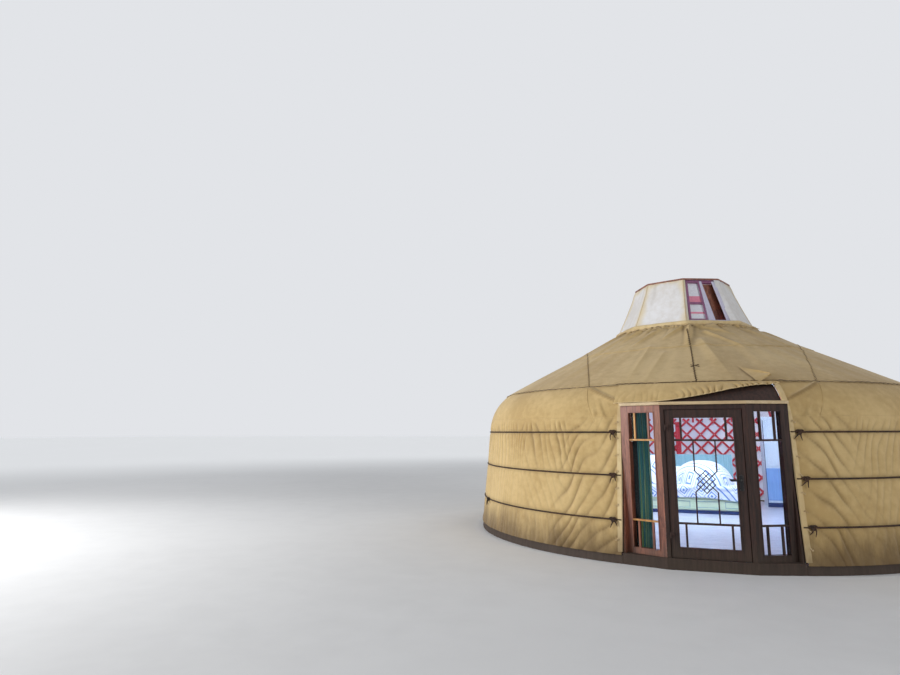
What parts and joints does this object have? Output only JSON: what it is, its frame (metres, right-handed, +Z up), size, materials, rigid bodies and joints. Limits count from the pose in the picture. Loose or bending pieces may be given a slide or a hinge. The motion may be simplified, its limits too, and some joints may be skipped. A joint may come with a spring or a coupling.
{
  "type": "yurt",
  "caption": "Round felt tent with a leaning lattice wall, domed roof, tapered octagonal roof lantern and a glazed three-panel door bay with a hinged door.",
  "frame": {"origin": "on the tent's axis, on the ground under the floor", "axes": "+Z up, the door faces -Y, +X to the right when facing the door from outside"},
  "size_m": [6.73, 6.7523, 3.8879],
  "materials": {
    "canvas": "heavy cream canvas over felt",
    "lantern_canvas": "translucent white cloth",
    "red_wood": "red-stained wood",
    "bay_wood": "reddish-brown varnished wood",
    "cream_wood": "pale wood",
    "floor_wood": "boards",
    "glass": "clear",
    "rope": "dark twisted rope",
    "black_metal": "black satin",
    "bedding": "white and blue quilt",
    "green_wood": "pale green paint",
    "pale_wood": "white and pale blue paint",
    "curtain": "teal-green cloth"
  },
  "bodies": {
    "yurt": {"base_ring": "bay_wood", "bay_lid": "cream_wood", "bed_platform": "green_wood", "bedding": "bedding", "cabinet": "pale_wood", "crown_bars": "red_wood", "crown_ring": "red_wood", "curtain_left": "curtain", "door_frame": "bay_wood", "door_head_panel": "bay_wood", "door_sill": "bay_wood", "floor_deck": "floor_wood", "lantern_canvas": "lantern_canvas", "lantern_frame": "cream_wood", "lantern_glass": "glass", "lantern_lid": "bay_wood", "lantern_trim": "canvas", "lattice_1": "red_wood", "lattice_2": "red_wood", "lattice_3": "red_wood", "lattice_4": "red_wood", "lattice_5": "red_wood", "lattice_6": "red_wood", "left_sidelight_frame": "bay_wood", "left_sidelight_glass": "glass", "right_sidelight_frame": "bay_wood", "right_sidelight_glass": "glass", "roof_cover_back": "canvas", "roof_cover_front": "canvas", "roof_cover_left": "canvas", "roof_cover_right": "canvas", "roof_poles_door": "red_wood", "roof_poles_left": "red_wood", "roof_poles_right": "red_wood", "wall_cover_1": "canvas", "wall_cover_2": "canvas", "wall_cover_3": "canvas", "wall_cover_4": "canvas", "wall_cover_5": "canvas", "wall_cover_6": "canvas", "wall_ropes": "rope"},
    "door": {"door_leaf": "bay_wood", "door_glass": "glass", "door_grille": "bay_wood", "door_handle": "black_metal"}
  },
  "joints": [
    {"name": "door_hinge", "type": "hinge", "parent": "yurt", "child": "door", "pos_m": [-0.3995, -3.3625, 0.9], "axis": [0, 0, -1], "range_deg": [0, 100]}
  ]
}
